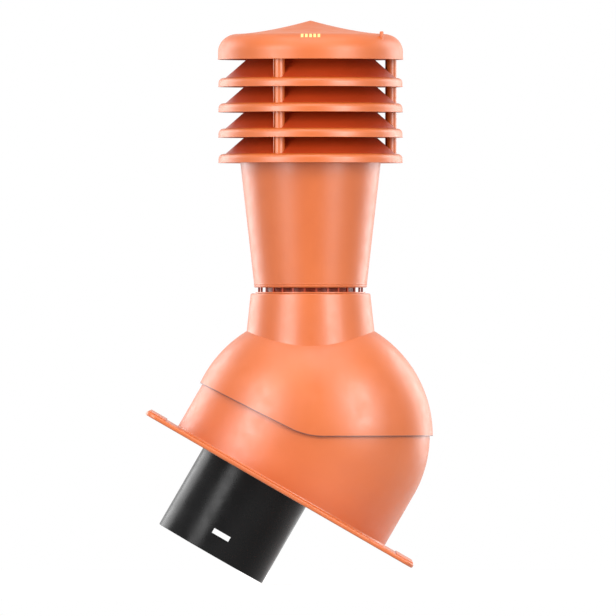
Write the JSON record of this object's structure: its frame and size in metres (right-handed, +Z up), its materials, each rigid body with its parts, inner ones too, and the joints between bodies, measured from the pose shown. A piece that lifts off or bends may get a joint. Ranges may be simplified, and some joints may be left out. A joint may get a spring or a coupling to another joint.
{
  "type": "roof ventilation chimney",
  "caption": "Terracotta plastic roof vent: a tapered mast with louvre rings and a cap on a domed hood that tilts on a sloping roof plate, with a black duct pipe below.",
  "frame": {"origin": "where the mast's axis meets the flat underside of the roof plate", "axes": "+Z up along the mast, +X the way the roof falls, +Y across the slope, along the tilt axis"},
  "size_m": [0.3016, 0.295, 0.5927],
  "materials": {
    "terracotta_plastic": "satin moulded plastic, orange-red like a clay tile",
    "black_plastic": "satin black moulded plastic"
  },
  "bodies": {
    "base": {"roof_base": "terracotta_plastic", "duct_pipe": "black_plastic"},
    "hood": {"swivel_hood": "terracotta_plastic", "mast": "terracotta_plastic", "louvre_ring_1": "terracotta_plastic", "louvre_ring_2": "terracotta_plastic", "louvre_ring_3": "terracotta_plastic", "louvre_ring_4": "terracotta_plastic", "cap": "terracotta_plastic"}
  },
  "joints": [
    {"name": "roof_pitch_tilt", "type": "hinge", "parent": "base", "child": "hood", "pos_m": [0, 0, 0.07713], "axis": [0, 1, 0], "range_deg": [0, 25]}
  ]
}
